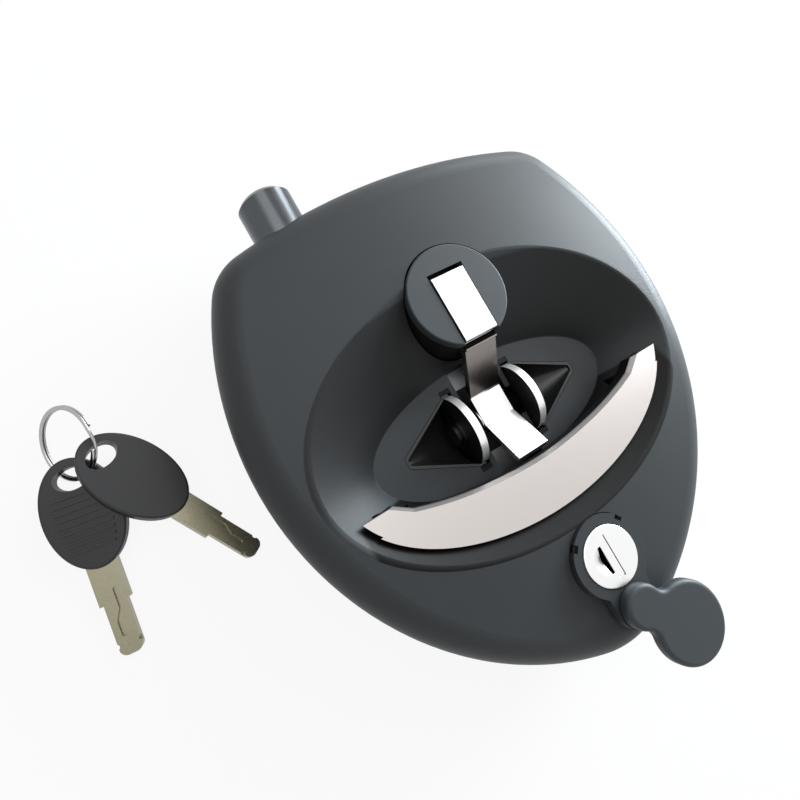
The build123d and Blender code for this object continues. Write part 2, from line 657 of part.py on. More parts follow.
def pull_handle():
    """Dark body of the crescent pull, with a knuckle at each end and two arms."""
    bottom = HANDLE_TOP_Z - HANDLE_THICKNESS
    layer = Pos(0, 0, bottom) * extrude(handle_plan(), amount=HANDLE_THICKNESS - TRIM_THICKNESS)
    plate = handle_fit(layer, HANDLE_GAP, END_RELIEF)
    reach = ARM_WIDTH / 2
    arm_y = (ARM_Y - ARM_DEPTH / 2, ARM_Y + ARM_DEPTH / 2)
    for side in (1, -1):
        start, end = sorted((side * HANDLE_NOTCH_X, side * KNUCKLE_END_X))
        plate = plate + along_x(KNUCKLE_RADIUS, start, end, *HANDLE_PIVOT)
        arm_x = (side * ARM_X - reach, side * ARM_X + reach)
        arm = block(arm_x, arm_y, (ARM_END_Z, bottom + ARM_WIDTH / 2))
        plate = plate + fillet(arm.edges().filter_by(Axis.X).group_by(Axis.Z)[0], ARM_DEPTH / 2 - 2 * SNUG)
        start, end = sorted((side * (HANDLE_PIN_INSIDE - SNUG), side * HANDLE_PIN_OUTSIDE))
        plate = plate - along_x(HANDLE_PIN_RADIUS + RUNNING, start, end, *HANDLE_PIVOT)
    return plate


def handle_trim():
    """Bright plate on the crescent, bevelled along its inner edge."""
    bottom = HANDLE_TOP_Z - TRIM_THICKNESS
    plate = Pos(0, 0, bottom) * extrude(handle_plan(), amount=TRIM_THICKNESS)
    top = plate.faces().sort_by(Axis.Z)[-1]
    near = [e for e in top.edges() if e.center().Y > CHANNEL_END_Y and abs(e.center().X) < HANDLE_NOTCH_X]
    plate = chamfer(near, TRIM_BEVEL_DEPTH, TRIM_BEVEL_WIDTH, reference=top)
    return handle_fit(plate, HANDLE_GAP + TRIM_BORDER, TRIM_RELIEF)


def handle_pins():
    """Two short pins from the case into the ends of the crescent."""
    right = along_x(HANDLE_PIN_RADIUS, HANDLE_PIN_INSIDE, HANDLE_PIN_OUTSIDE, *HANDLE_PIVOT)
    return [right, mirror(right, Plane.YZ)]


def handle_spring(side):
    """Torsion spring on the outer end of one handle pin."""
    height = HANDLE_PIN_OUTSIDE - PIN_BOSS_END_X - TORSION_GAP
    wound = coil(TORSION_RADIUS, TORSION_WIRE, height, TORSION_TURNS)
    lying = Pos(PIN_BOSS_END_X + TORSION_GAP / 2, *HANDLE_PIVOT) * Rot(0, 90, 0) * wound
    return lying if side > 0 else mirror(lying, Plane.YZ)


def latch_bolt():
    """Round bolt with a flat for the draw bar."""
    bolt = along_y(BOLT_RADIUS, BOLT_REAR_Y, BOLT_TIP_Y, BOLT_X, BOLT_Z)
    bolt = chamfer(bolt.edges().group_by(Axis.Y)[-1], BOLT_CHAMFER)
    flat_y = (BOLT_REAR_Y, BAR_FRONT_Y + BOLT_FLAT_RUNOUT)
    flat = block((BOLT_X - BOLT_RADIUS, BOLT_X + BOLT_RADIUS), flat_y, (0, BAR_TOP_Z))
    bar_bottom = BAR_TOP_Z - BAR_THICKNESS
    screw = upright(BAR_SCREW_RADIUS + SNUG, BAR_SCREW_LENGTH, BOLT_X, bar_screw_y(), bar_bottom)
    return bolt - flat - screw


def bar_screw_y():
    """Place of the screw that joins the bar to the bolt."""
    return (BOLT_REAR_Y + BAR_FRONT_Y) / 2


def draw_bar():
    """Flat bar from the bolt to the handle's left arm, with a window for the arm."""
    level = (BAR_TOP_Z - BAR_THICKNESS, BAR_TOP_Z)
    foot = block((BOLT_X + BOLT_RADIUS / 2, -ARM_X - BAR_HALF_WIDTH), (BAR_FOOT_Y, BAR_FRONT_Y), level)
    strip = block((-ARM_X - BAR_HALF_WIDTH, -ARM_X + BAR_HALF_WIDTH), (BAR_END_Y, BAR_FRONT_Y), level)
    wide = block((-ARM_X - BAR_WINDOW_HALF_WIDTH, -ARM_X + BAR_WINDOW_HALF_WIDTH),
                 (BAR_END_Y, BAR_WINDOW[1] + BAR_EYE_WALL), level)
    window_half = ARM_WIDTH / 2 + EAR_SLOT_GAP
    window = block((-ARM_X - window_half, -ARM_X + window_half), BAR_WINDOW, level)
    hole = upright(BAR_SCREW_RADIUS + SNUG, BAR_THICKNESS, BOLT_X, bar_screw_y(), level[0])
    return foot + strip + wide - window - hole


def bar_screw():
    """Screw that joins the bar to the bolt."""
    head_top = BAR_TOP_Z - BAR_THICKNESS
    head = upright(BAR_SCREW_HEAD_RADIUS, BAR_SCREW_HEAD, BOLT_X, bar_screw_y(), head_top - BAR_SCREW_HEAD)
    shank = upright(BAR_SCREW_RADIUS, BAR_SCREW_LENGTH - SCREW_END_GAP, BOLT_X, bar_screw_y(), head_top)
    return head + shank


def bolt_guide():
    """Plastic block that carries the bolt inside the case."""
    x = (BOLT_X - GUIDE_HALF_WIDTH, BOLT_X + GUIDE_HALF_WIDTH)
    guide = block(x, GUIDE_BLOCK, (PLATE_THICKNESS, GUIDE_TOP_Z)) & case_blank(WALL + PLATE_GAP, 0.0)
    guide = guide - along_y(BOLT_RADIUS + RUNNING, GUIDE_BLOCK[0], GUIDE_BLOCK[1], BOLT_X, BOLT_Z)
    for x, y in guide_screw_places():
        guide = guide - upright(SCREW_RADIUS + SNUG, SCREW_LENGTH / 2, x, y, PLATE_THICKNESS)
    return guide


def case_screws():
    """Six screws that hold the back plate to the case."""
    return [countersunk(SCREW_LENGTH, x, y) for x, y in both_sides(SCREW_PLACES)]


def guide_screws():
    """Two screws that hold the bolt guide to the back plate."""
    return [countersunk(SCREW_LENGTH / 2, x, y) for x, y in guide_screw_places()]


def cylinder_barrel():
    """Fixed body of the lock cylinder."""
    height = COLLAR_SEAT_Z - BARREL_BOTTOM_Z
    barrel = upright(BARREL_RADIUS, height, 0, CYLINDER_Y, BARREL_BOTTOM_Z)
    barrel = barrel + upright(BARREL_FLANGE_RADIUS, BARREL_FLANGE, 0, CYLINDER_Y, COLLAR_SEAT_Z)
    return barrel - upright(PLUG_RADIUS + RUNNING, CROWN_Z, 0, CYLINDER_Y, 0)


def barrel_nut():
    """Hexagon nut that clamps the barrel to the case."""
    hexagon = RegularPolygon(NUT_ACROSS_FLATS / 2, 6, major_radius=False)
    nut = Pos(0, CYLINDER_Y, NUT_SEAT_Z - NUT_THICKNESS) * extrude(hexagon, amount=NUT_THICKNESS)
    return nut - upright(BARREL_RADIUS + SNUG, CROWN_Z, 0, CYLINDER_Y, 0)


def key_plug():
    """Turning plug: bright face with a scoop and a keyway, shank and square tail."""
    face_bottom = FACE_Z - FACE_THICKNESS
    plug = upright(FACE_RADIUS, FACE_THICKNESS, 0, CYLINDER_Y, face_bottom)
    plug = fillet(plug.edges().group_by(Axis.Z)[-1], FACE_EDGE)
    shank_bottom = BARREL_BOTTOM_Z - SHANK_STEP
    plug = plug + upright(PLUG_RADIUS, face_bottom - shank_bottom, 0, CYLINDER_Y, shank_bottom)
    tail = TAIL_SIDE / 2
    tail_y = (CYLINDER_Y - tail, CYLINDER_Y + tail)
    plug = plug + block((-tail, tail), tail_y, (CAM_Z, shank_bottom))
    cone = Cone(SCOOP_FLAT_RADIUS, SCOOP_RADIUS, SCOOP_DEPTH, align=STANDING)
    scoop = Pos(KEYWAY_X + KEYWAY_WIDTH / 2, CYLINDER_Y, FACE_Z - SCOOP_DEPTH) * cone
    side = block((KEYWAY_X + KEYWAY_WIDTH / 2, -2 * FACE_RADIUS),
                 (CYLINDER_Y - FACE_RADIUS, CYLINDER_Y + FACE_RADIUS), (0, 2 * FACE_Z))
    plug = plug - (scoop & side)
    keyway_x = (KEYWAY_X - KEYWAY_WIDTH / 2, KEYWAY_X + KEYWAY_WIDTH / 2)
    keyway_y = (CYLINDER_Y - KEYWAY_LENGTH / 2, CYLINDER_Y + KEYWAY_LENGTH / 2)
    plug = plug - block(keyway_x, keyway_y, (FACE_Z - BLADE_LENGTH - KEYWAY_CLEAR, FACE_Z))
    seam_y = (CYLINDER_Y - SEAM_LENGTH / 2, CYLINDER_Y + SEAM_LENGTH / 2)
    seam_z = (FACE_Z - SEAM_DEPTH, FACE_Z)
    seam = block((SEAM_X, SEAM_X + SEAM_WIDTH), seam_y, seam_z)
    tick = block((SEAM_X - TICK_LENGTH, SEAM_X), (seam_y[0], seam_y[0] + SEAM_WIDTH), seam_z)
    plug = plug - seam - tick
    return plug - upright(CAM_SCREW_SHANK_RADIUS + SNUG, CAM_SCREW_DEPTH, 0, CYLINDER_Y, CAM_Z)


def lock_cam():
    """Cam on the plug's square tail."""
    far_end = CYLINDER_Y + CAM_LENGTH - CAM_WIDTH / 2
    arm = block((-CAM_WIDTH / 2, CAM_WIDTH / 2), (CYLINDER_Y, far_end), (CAM_Z, CAM_Z + CAM_THICKNESS))
    ends = [upright(CAM_WIDTH / 2 + grow, CAM_THICKNESS, 0, y, CAM_Z)
            for y, grow in ((CYLINDER_Y, CAM_HUB_GROW), (far_end, 0.0))]
    tail = TAIL_SIDE / 2 + SNUG
    hole = block((-tail, tail), (CYLINDER_Y - tail, CYLINDER_Y + tail), (CAM_Z, CAM_Z + CAM_THICKNESS))
    return arm + ends[0] + ends[1] - hole


def cam_screw():
    """Screw that holds the cam on the plug."""
    head = upright(CAM_SCREW_RADIUS, CAM_SCREW_HEAD, 0, CYLINDER_Y, CAM_Z - CAM_SCREW_HEAD)
    return head + upright(CAM_SCREW_SHANK_RADIUS, CAM_SCREW_DEPTH - SCREW_END_GAP, 0, CYLINDER_Y, CAM_Z)


def collar_plan(grow):
    """Plan of the collar: ring, neck and ear, grown by grow."""
    ring = Pos(0, CYLINDER_Y) * Circle(COLLAR_RADIUS + grow)
    ear = Pos(*COVER_PIVOT) * Circle(EAR_LOBE_RADIUS + grow)
    half = EAR_LOBE_RADIUS + grow
    wide = half + COLLAR_NECK_FLARE
    start = CYLINDER_Y - COLLAR_RADIUS + COLLAR_NECK_OVERLAP
    x, y = COVER_PIVOT
    neck = Polyline((-wide, start), (wide, start), (x + half, y), (x - half, y), close=True)
    return ring + ear + make_face(neck)


def cylinder_collar():
    """Plastic collar round the face, with the ear for the dust cover."""
    collar = Pos(0, 0, COLLAR_SEAT_Z) * extrude(collar_plan(0.0), amount=COLLAR_TOP_Z - COLLAR_SEAT_Z)
    collar = collar - upright(COLLAR_BORE, CROWN_Z, 0, CYLINDER_Y, 0)
    flange = BARREL_FLANGE_RADIUS + SNUG
    collar = collar - upright(flange, BARREL_FLANGE + SNUG, 0, CYLINDER_Y, COLLAR_SEAT_Z)
    for angle in COLLAR_NOTCH_ANGLES:
        x = COLLAR_RADIUS * math.cos(math.radians(angle))
        y = CYLINDER_Y + COLLAR_RADIUS * math.sin(math.radians(angle))
        notch = Box(*COLLAR_NOTCH, CROWN_Z)
        collar = collar - Pos(x, y, COLLAR_SEAT_Z) * Rot(0, 0, angle) * notch
    return collar - upright(COVER_PIN_RADIUS + SNUG, CROWN_Z, *COVER_PIVOT, COVER_PIN_SEAT_Z)


def cover_lobe_centre():
    """Centre of the cover's large lobe at rest."""
    angle = math.radians(COVER_ANGLE)
    return (COVER_PIVOT[0] + COVER_SPAN * math.cos(angle), COVER_PIVOT[1] + COVER_SPAN * math.sin(angle))


def dust_cover():
    """Two-lobed cover that swings over the cylinder's face."""
    small = Pos(*COVER_PIVOT) * Circle(COVER_SMALL_RADIUS)
    large = Pos(*cover_lobe_centre()) * Circle(COVER_LARGE_RADIUS)
    plan = small + large
    plan = fillet(plan.vertices(), COVER_WAIST)
    cover = Pos(0, 0, COVER_BOTTOM_Z) * extrude(plan, amount=COVER_THICKNESS)
    cover = fillet(cover.edges().group_by(Axis.Z)[-1], COVER_EDGE)
    pin_top = COVER_BOTTOM_Z + COVER_THICKNESS - COVER_PIN_ROOF
    bore = upright(COVER_PIN_RADIUS + RUNNING, pin_top, *COVER_PIVOT, 0)
    return cover - bore


def cover_pin():
    """Pin from the ear up into the cover."""
    top = COVER_BOTTOM_Z + COVER_THICKNESS - COVER_PIN_ROOF - 2 * RUNNING
    return upright(COVER_PIN_RADIUS, top - COVER_PIN_SEAT_Z, *COVER_PIVOT, COVER_PIN_SEAT_Z)


def key_head(ribbed):
    """Oval head, along X with its blade towards +X; its ring hole is at the -X end."""
    half = KEY_HEAD_THICKNESS / 2
    plan = Ellipse(KEY_HEAD_LENGTH / 2, KEY_HEAD_WIDTH / 2)
    head = Pos(0, 0, -half) * extrude(plan, amount=KEY_HEAD_THICKNESS)
    rims = head.edges().group_by(Axis.Z)
    head = fillet(rims[0] + rims[-1], KEY_EDGE)
    smaller = Ellipse(KEY_HEAD_LENGTH / 2 - KEY_SPLIT, KEY_HEAD_WIDTH / 2 - KEY_SPLIT)
    ring = extrude(plan, amount=KEY_SPLIT) - extrude(smaller, amount=KEY_SPLIT)
    head = head - Pos(0, 0, -KEY_SPLIT / 2) * ring
    moon = Ellipse(KEY_HOLE_LENGTH / 2, KEY_HOLE_WIDTH / 2)
    hole = Pos(-KEY_HOLE_X, 0, -KEY_HEAD_THICKNESS) * extrude(moon, amount=2 * KEY_HEAD_THICKNESS)
    head = head - hole
    if ribbed:
        for index in range(RIB_COUNT):
            x = RIB_START_X + index * RIB_PITCH
            reach = RIB_SPAN * KEY_HEAD_WIDTH / 2 * math.sqrt(1 - (2 * x / KEY_HEAD_LENGTH) ** 2)
            head = head + block((x, x + RIB_WIDTH), (-reach, reach), (half - RIB_HEIGHT, half + RIB_HEIGHT))
    root = KEY_HEAD_LENGTH / 2 - BLADE_ROOT
    reach = SHOULDER_WIDTH / 2
    pocket = block((root, KEY_HEAD_LENGTH), (-reach, reach), (-BLADE_THICKNESS / 2, BLADE_THICKNESS / 2))
    return head - pocket


def key_blade():
    """Flat blade with a shoulder, a groove and a rounded tip."""
    root = KEY_HEAD_LENGTH / 2 - BLADE_ROOT
    shoulder_end = KEY_HEAD_LENGTH / 2 + SHOULDER_LENGTH
    tip = shoulder_end + BLADE_LENGTH
    low = -BLADE_THICKNESS / 2
    level = (low, low + BLADE_THICKNESS)
    shoulder = block((root, shoulder_end), (-SHOULDER_WIDTH / 2, SHOULDER_WIDTH / 2), level)
    blade = block((root, tip), (-BLADE_WIDTH / 2, BLADE_WIDTH / 2), level)
    blade = fillet(blade.edges().filter_by(Axis.Z).group_by(Axis.X)[-1], BLADE_TIP_RADIUS)
    key = shoulder + blade
    for start, end in zip(GROOVE_PATH, GROOVE_PATH[1:]):
        middle = ((start[0] + end[0]) / 2 + shoulder_end, (start[1] + end[1]) / 2)
        length = math.dist(start, end)
        turn = math.degrees(math.atan2(end[1] - start[1], end[0] - start[0]))
        run = Box(length, GROOVE_WIDTH, 2 * BLADE_GROOVE)
        key = key - Pos(middle[0], middle[1], level[1]) * Rot(0, 0, turn) * run
        for x, y in (start, end):
            key = key - upright(GROOVE_WIDTH / 2, BLADE_GROOVE, x + shoulder_end, y, level[1] - BLADE_GROOVE)
    for side in (1, -1):
        notch = Box(TIP_NOTCH, TIP_NOTCH, BLADE_THICKNESS)
        key = key - Pos(tip - TIP_NOTCH_X, side * BLADE_WIDTH / 2, level[1]) * Rot(0, 0, 45) * notch
    return key


def key_place(high):
    """Where a key lies: the low one on the table, the high one leaning on it."""
    if high:
        return Pos(*KEY_HIGH) * Rot(0, 0, KEY_HIGH_TURN) * Rot(0, KEY_HIGH_DIP, 0) * Rot(KEY_HIGH_TILT, 0, 0)
    return Pos(*KEY_LOW) * Rot(0, 0, KEY_LOW_TURN) * Rot(0, KEY_LOW_DIP, 0)


def key_ring():
    """Split ring through both heads, as one round wire."""
    tilt = Rot(0, RING_TILT[0], 0) * Rot(RING_TILT[1], 0, 0)
    return Pos(*RING_CENTRE) * tilt * Torus(RING_RADIUS, RING_WIRE)


PIECES = {
    "front_shell": front_shell,
    "back_plate": back_plate,
    "case_screws": case_screws,
    "pocket_cups": pocket_cups,
    "rocker_bracket": rocker_bracket,
    "bracket_rivets": bracket_rivets,
    "pin_bushes": pin_bushes,
    "rocker_pin": rocker_pin,
    "rocker_lever": rocker_lever,
    "button_cap": button_cap,
    "button_plunger": button_plunger,
    "button_spring": button_spring,
    "pull_handle": pull_handle,
    "handle_trim": handle_trim,
    "handle_pins": handle_pins,
    "handle_spring_left": lambda: handle_spring(-1),
    "handle_spring_right": lambda: handle_spring(1),
    "latch_bolt": latch_bolt,
    "bolt_guide": bolt_guide,
    "guide_screws": guide_screws,
    "draw_bar": draw_bar,
    "bar_screw": bar_screw,
    "cylinder_barrel": cylinder_barrel,
    "barrel_nut": barrel_nut,
    "key_plug": key_plug,
    "lock_cam": lock_cam,
    "cam_screw": cam_screw,
    "cylinder_collar": cylinder_collar,
    "dust_cover": dust_cover,
    "cover_pin": cover_pin,
    "key_head_low": lambda: key_place(False) * key_head(True),
    "key_blade_low": lambda: key_place(False) * key_blade(),
    "key_head_high": lambda: key_place(True) * key_head(False),
    "key_blade_high": lambda: key_place(True) * key_blade(),
    "key_ring": key_ring,
}


def main():
    """Build every piece and write it as one STEP file per node."""
    os.makedirs("parts", exist_ok=True)
    for name, make in PIECES.items():
        made = make()
        solids = made if isinstance(made, list) else [made]
        whole = Compound([solid for piece in solids for solid in piece.solids()])
        export_step(whole, os.path.join("parts", name + ".step"))
        print(name, len(whole.solids()), round(whole.volume, 2))


main()
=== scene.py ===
import math

import bmesh
import bpy
from mathutils import Matrix, Vector


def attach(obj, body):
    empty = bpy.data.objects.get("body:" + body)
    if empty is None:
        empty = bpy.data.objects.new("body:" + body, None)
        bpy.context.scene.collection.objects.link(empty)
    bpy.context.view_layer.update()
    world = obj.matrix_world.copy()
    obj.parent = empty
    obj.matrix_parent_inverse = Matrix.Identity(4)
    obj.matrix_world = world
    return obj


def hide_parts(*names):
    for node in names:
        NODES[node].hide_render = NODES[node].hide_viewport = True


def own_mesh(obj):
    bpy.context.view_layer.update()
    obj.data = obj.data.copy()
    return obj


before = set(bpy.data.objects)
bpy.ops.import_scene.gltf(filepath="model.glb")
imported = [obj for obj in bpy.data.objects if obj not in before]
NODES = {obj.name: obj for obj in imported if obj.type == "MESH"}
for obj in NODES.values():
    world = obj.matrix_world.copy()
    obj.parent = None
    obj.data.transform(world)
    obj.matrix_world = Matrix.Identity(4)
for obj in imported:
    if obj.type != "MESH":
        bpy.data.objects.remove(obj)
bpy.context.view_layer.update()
MM = 0.001

# Camera: place in millimetres, axes, and lens from the photograph's width in pixels
CAMERA_PLACE = (-57.753, 7.738, 127.232)
CAMERA_RIGHT = (0.83201884, -0.49639193, 0.24766853)
CAMERA_UP = (0.45666286, 0.86634281, 0.20226017)
CAMERA_BACK = (-0.31496617, -0.05518325, 0.94749729)
SENSOR = 36.0
FOCAL_PIXELS = 489.04
PHOTO_WIDTH = 800.0
LENS = FOCAL_PIXELS * SENSOR / PHOTO_WIDTH
NEAREST = 0.001
FARTHEST = 10.0

# What all finishes share: clouds of colour in millimetres, noise, roughness and bump
CLOUD = 12.0
CLOUD_ROUGH = 0.55
GRAIN_ROUGH = 0.6
NOISE_DETAIL = 3.0
NOISE_SPAN = (0.25, 0.75)
GRAIN_SHARE = 0.5
ROUGH_VARY = 0.05
BUMP_STRENGTH = 0.5

# The colour sockets of a Mix node: its two inputs and its output
MIX_INPUTS = (6, 7)
MIX_OUTPUT = 2

# Where a finish or its painted shade, shadow, reflection and highlight change, in millimetres: a pair is a
# fade's start and end, or a band's two ends.
# The mechanism's well, the button's guide and the slots of ears and arms, painted black as shade
FLOOR_FADE = (14.7, 14.4)
WELL_EDGE = (38.0, 36.0)
BUTTON_Y = 28.6
GUIDE_RADIUS = 14.9
GUIDE_TOP = (27.0, 26.0)
EAR_SLOT_X = (7.8, 10.9)
EAR_SLOT_Y = (-11.2, 11.2)
EAR_SLOT_TOP = (15.2, 15.1)
ARM_SLOT_X = (31.8, 36.2)
ARM_SLOT_Y = (-16.9, -7.7)
ARM_SLOT_TOP = (22.0, 21.0)

# The dish wall, with painted shade on its upper part and a painted shadow beside and under the crescent.
# RIM_SQUEEZE makes a circle of the rim's oval, and RIM_LEAN is how far the edge of the painted shade moves
# out for each millimetre above RIM_Z.
RIM_Z = 26.0
RIM_SQUEEZE = 30.0 / 49.0
RIM_Y = 1.4
RIM_LEAN = 1.2
RIM_EDGE = (31.0, 30.7)
WALL_Z = (15.2, 28.6)
WALL_SOFT = 0.4
UPPER_WALL = (-6.0, 4.0)
LOWER_WALL = (-5.4, -6.4)
PULL_ENDS = (46.0, 44.5)

# The crescent's bevel with its painted highlight, and the ears with their foot painted black as shade. A
# facing lies between 0 and 1, and 1 is straight along its axis.
BEVEL_Z = (24.5, 25.42)
BEVEL_SOFT = 0.05
BEVEL_FACING = (0.5, 0.6)
EAR_FACING = (0.6, 0.75)
EAR_FOOT = (15.0, 13.2)

# The lever's riser with its painted reflection, its sides, and its neck with a painted shadow
RISER_Y = (6.0, 17.4)
RISER_SOFT = 0.4
RISER_FOOT = (16.1, 16.5)
RISER_FADE = (16.0, 24.0)
LEVER_SIDES = (4.55, 4.65)
NECK_Y = (16.4, 17.6)
NECK_Z = (26.2, 26.4)

# The lines in the cylinder's face: the keyway, painted dark as shade, and the seam
KEYWAY_X = (-2.14, -1.26)
KEYWAY_Z = (28.3, 28.2)
SEAM_X = (0.6, 0.95)
SEAM_Z = (28.42, 28.35)
LINE_SOFT = 0.03

# Wire: the points round its section, and a full turn in degrees
WIRE_SIDES = 12
FULL_TURN = 360.0

# Split ring in millimetres and degrees: its place and tilts, its flat wire, whose turns lie RING_OFFSET from
# its middle, the angle in which the wire crosses from one turn to the other, and the angle left open
RING_CENTRE = (-88.92, 41.46, 5.96)
RING_TILT_Y = -40.76
RING_TILT_X = 0.6
RING_RADIUS = 8.0
RING_TURNS = 2
RING_OFFSET = 0.31
RING_HALF_WIRE = (0.5, 0.27)
RING_STEPS = 160
CROSSING = 30.0
END_GAP = 4.0

# Spring under the button in millimetres: its axis, radius, wire, ends along Z, and turns
SPRING_Y = BUTTON_Y
SPRING_RADIUS = 5.0
SPRING_HALF_WIRE = 0.45
SPRING_ENDS = (1.8, 19.8)
SPRING_TURNS = 5
SPRING_STEPS = 200

# Stage: the floor's radius and height in metres, its sides, colour, roughness and glow, and the world's light
FLOOR_RADIUS = 4.0
FLOOR_SIDES = 96
FLOOR_Z = -0.0003
FLOOR_COLOUR = (0.86, 0.86, 0.86, 1.0)
FLOOR_ROUGH = 0.9
FLOOR_GLOW = 0.9
WORLD_LIGHT = 0.24
WHITE = (1.0, 1.0, 1.0)

# Lights: name, place, aim and size in metres, power in watts, and colour
LIGHTS = [
    ("key", (0.50, 0.18, 0.38), (0.0, 0.0, 0.02), 0.35, 1.9, WHITE),
    ("rim", (0.50, 0.09, 0.12), (0.03, 0.0, 0.02), 0.25, 6.0, (0.84, 0.94, 1.0)),
    ("end", (0.42, 0.42, 0.17), (-0.02, 0.06, 0.02), 0.22, 1.3, (0.9, 0.97, 1.0)),
    ("top", (-0.10, 0.20, 0.62), (0.0, 0.0, 0.0), 0.5, 1.2, WHITE),
    ("fill", (-0.45, -0.30, 0.45), (0.0, 0.0, 0.0), 0.5, 0.1, WHITE),
]


def srgb(red, green, blue):
    """Linear colour of an 8-bit screen colour."""
    out = []
    for value in (red, green, blue):
        c = value / 255.0
        out.append(c / 12.92 if c <= 0.04045 else ((c + 0.055) / 1.055) ** 2.4)
    return (*out, 1.0)


def scaled(colour, factor):
    """A colour made lighter or darker."""
    return (*[min(1.0, c * factor) for c in colour[:3]], 1.0)


def make_camera():
    """The photograph's camera."""
    data = bpy.data.cameras.new("camera")
    data.sensor_width = SENSOR
    data.lens = LENS
    data.clip_start = NEAREST
    data.clip_end = FARTHEST
    camera = bpy.data.objects.new("camera", data)
    bpy.context.scene.collection.objects.link(camera)
    columns = Matrix((CAMERA_RIGHT, CAMERA_UP, CAMERA_BACK)).transposed()
    camera.matrix_world = Matrix.Translation(Vector(CAMERA_PLACE) * MM) @ columns.to_4x4()
    bpy.context.scene.camera = camera


class Tree:
    """A material's node tree, with masks by place on the part."""

    def __init__(self, name):
        self.material = bpy.data.materials.new(name)
        self.material.use_nodes = True
        self.tree = self.material.node_tree
        self.tree.nodes.clear()
        self.shader = self.add("ShaderNodeBsdfPrincipled")
        self.output = self.add("ShaderNodeOutputMaterial")
        self.link(self.shader.outputs[0], self.output.inputs["Surface"])
        self.place = self.add("ShaderNodeTexCoord").outputs["Object"]
        split = self.add("ShaderNodeSeparateXYZ")
        self.link(self.place, split.inputs[0])
        self.x, self.y, self.z = split.outputs
        self.colour = None

    def add(self, kind, **settings):
        """A node with its properties set."""
        node = self.tree.nodes.new(kind)
        for key, value in settings.items():
            setattr(node, key, value)
        return node

    def link(self, out, socket):
        """A link from out to socket."""
        self.tree.links.new(out, socket)

    def put(self, value, socket):
        """Links an output to a socket, or sets a plain value on it."""
        if hasattr(value, "is_output"):
            self.link(value, socket)
        else:
            socket.default_value = value

    def stretched(self, stretch):
        """Object coordinates, scaled."""
        mapping = self.add("ShaderNodeMapping")
        mapping.inputs["Scale"].default_value = stretch
        self.link(self.place, mapping.inputs["Vector"])
        return mapping.outputs[0]

    def noise(self, vector, size, rough):
        """Noise from 0 to 1, with features of size millimetres."""
        node = self.add("ShaderNodeTexNoise")
        node.inputs["Scale"].default_value = 1.0 / (size * MM)
        node.inputs["Detail"].default_value = NOISE_DETAIL
        node.inputs["Roughness"].default_value = rough
        self.link(vector, node.inputs["Vector"])
        return node.outputs["Fac"]

    def ranged(self, noise, low, high):
        """Noise mapped to low..high."""
        node = self.add("ShaderNodeMapRange")
        ends = (("From Min", NOISE_SPAN[0]), ("From Max", NOISE_SPAN[1]), ("To Min", low), ("To Max", high))
        for key, number in ends:
            node.inputs[key].default_value = number
        self.link(noise, node.inputs["Value"])
        return node.outputs[0]

    def mixed(self, factor, first, second):
        """A mix of two colours."""
        node = self.add("ShaderNodeMix", data_type="RGBA")
        for socket, value in zip(MIX_INPUTS, (first, second)):
            self.put(value, node.inputs[socket])
        self.link(factor, node.inputs[0])
        return node.outputs[MIX_OUTPUT]

    def calc(self, operation, first, second=0.0):
        """One step of arithmetic."""
        node = self.add("ShaderNodeMath", operation=operation)
        self.put(first, node.inputs[0])
        self.put(second, node.inputs[1])
        return node.outputs[0]

    def rise(self, value, start, end):
        """0 before start, 1 after end, smooth between; start may lie after end. Millimetres."""
        node = self.add("ShaderNodeMapRange", interpolation_type="SMOOTHSTEP")
        node.inputs["From Min"].default_value = min(start, end) * MM
        node.inputs["From Max"].default_value = max(start, end) * MM
        node.inputs["To Min"].default_value = 0.0 if start < end else 1.0
        node.inputs["To Max"].default_value = 1.0 if start < end else 0.0
        self.link(value, node.inputs["Value"])
        return node.outputs[0]

    def band(self, value, low, high, soft=0.1):
        """1 between low and high, falling to 0 within soft outside them. Millimetres."""
        return self.calc("MULTIPLY", self.rise(value, low - soft, low), self.rise(value, high + soft, high))

    def every(self, *masks):
        """The product of masks."""
        out = masks[0]
        for mask in masks[1:]:
            out = self.calc("MULTIPLY", out, mask)
        return out

    def from_line(self, y, squeeze=1.0):
        """Distance from the upright line at x = 0 and y millimetres, with x squeezed."""
        shift = self.add("ShaderNodeCombineXYZ")
        self.link(self.calc("MULTIPLY", self.x, squeeze), shift.inputs[0])
        self.link(self.calc("SUBTRACT", self.y, y * MM), shift.inputs[1])
        node = self.add("ShaderNodeVectorMath", operation="LENGTH")
        self.link(shift.outputs[0], node.inputs[0])
        return node.outputs["Value"]

    def facing(self, axis):
        """How squarely the surface faces along an axis: 0 to 1 millimetre, which is what rise() reads."""
        split = self.add("ShaderNodeSeparateXYZ")
        texture = self.add("ShaderNodeTexCoord")
        self.link(texture.outputs["Normal"], split.inputs[0])
        return self.calc("MULTIPLY", self.calc("ABSOLUTE", split.outputs[axis]), MM)

    def cover(self, mask, colour):
        """Lays colour over what is there, by mask."""
        self.colour = self.mixed(mask, self.colour, colour)
        self.link(self.colour, self.shader.inputs["Base Color"])

    def bumped(self, height, distance):
        """A bump from a height."""
        node = self.add("ShaderNodeBump")
        node.inputs["Strength"].default_value = BUMP_STRENGTH
        node.inputs["Distance"].default_value = distance
        self.link(height, node.inputs["Height"])
        return node.outputs[0]


